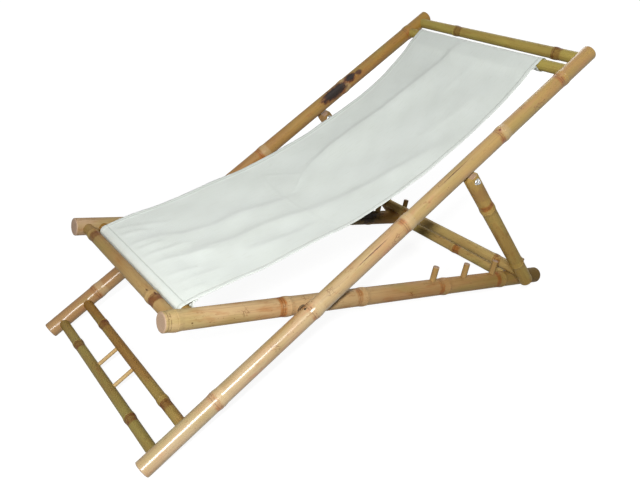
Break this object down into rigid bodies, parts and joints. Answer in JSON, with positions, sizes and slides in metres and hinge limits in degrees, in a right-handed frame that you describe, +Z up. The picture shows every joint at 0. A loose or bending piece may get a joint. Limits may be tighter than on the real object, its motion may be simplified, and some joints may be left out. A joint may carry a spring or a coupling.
{
  "type": "folding recliner",
  "caption": "Folding bamboo recliner: two crossed pole frames, a hinged prop frame that rests between pegs, and a canvas sling.",
  "frame": {"origin": "on the floor, under the middle of the chair's length and width", "axes": "+X from the foot end to the head end, +Y to the right of a person lying in it, +Z up"},
  "size_m": [1.2614, 0.622, 0.6927],
  "materials": {
    "straw_bamboo": "varnished, straw tan",
    "olive_bamboo": "varnished, olive tan",
    "peg_bamboo": "bare, satin",
    "zinc_steel": "zinc plated",
    "dark_steel": "dull",
    "canvas": "plain off-white canvas"
  },
  "bodies": {
    "seat_frame": {"seat_rail_left": "straw_bamboo", "seat_rail_right": "straw_bamboo", "front_bar": "olive_bamboo", "front_sling_bar": "straw_bamboo", "rear_bar": "olive_bamboo", "rest_pegs_left": "peg_bamboo", "rest_pegs_right": "peg_bamboo", "pivot_washers": "zinc_steel", "sling": "canvas"},
    "back_frame": {"back_rail_left": "straw_bamboo", "back_rail_right": "straw_bamboo", "head_bar": "olive_bamboo", "head_sling_bar": "straw_bamboo", "lower_foot_bar": "olive_bamboo", "upper_foot_bar": "olive_bamboo", "foot_spindle_left": "peg_bamboo", "foot_spindle_right": "peg_bamboo", "pivot_pins": "dark_steel", "pivot_lock_nails": "dark_steel", "hinge_tongue_left": "zinc_steel", "hinge_tongue_right": "zinc_steel"},
    "prop_frame": {"prop_leg_left": "olive_bamboo", "prop_leg_right": "olive_bamboo", "prop_bar": "olive_bamboo", "hinge_bolts": "zinc_steel", "hinge_nuts": "zinc_steel", "hinge_washers": "zinc_steel"}
  },
  "joints": [
    {"name": "back_fold", "type": "hinge", "parent": "seat_frame", "child": "back_frame", "pos_m": [-0.22583, 0, 0.22839], "axis": [0, -1, 0], "range_deg": [0, 131], "deforming": ["sling"]},
    {"name": "prop_swing", "type": "hinge", "parent": "back_frame", "child": "prop_frame", "pos_m": [0.23642, 0, 0.42862], "axis": [0, -1, 0], "range_deg": [0, 78]}
  ]
}
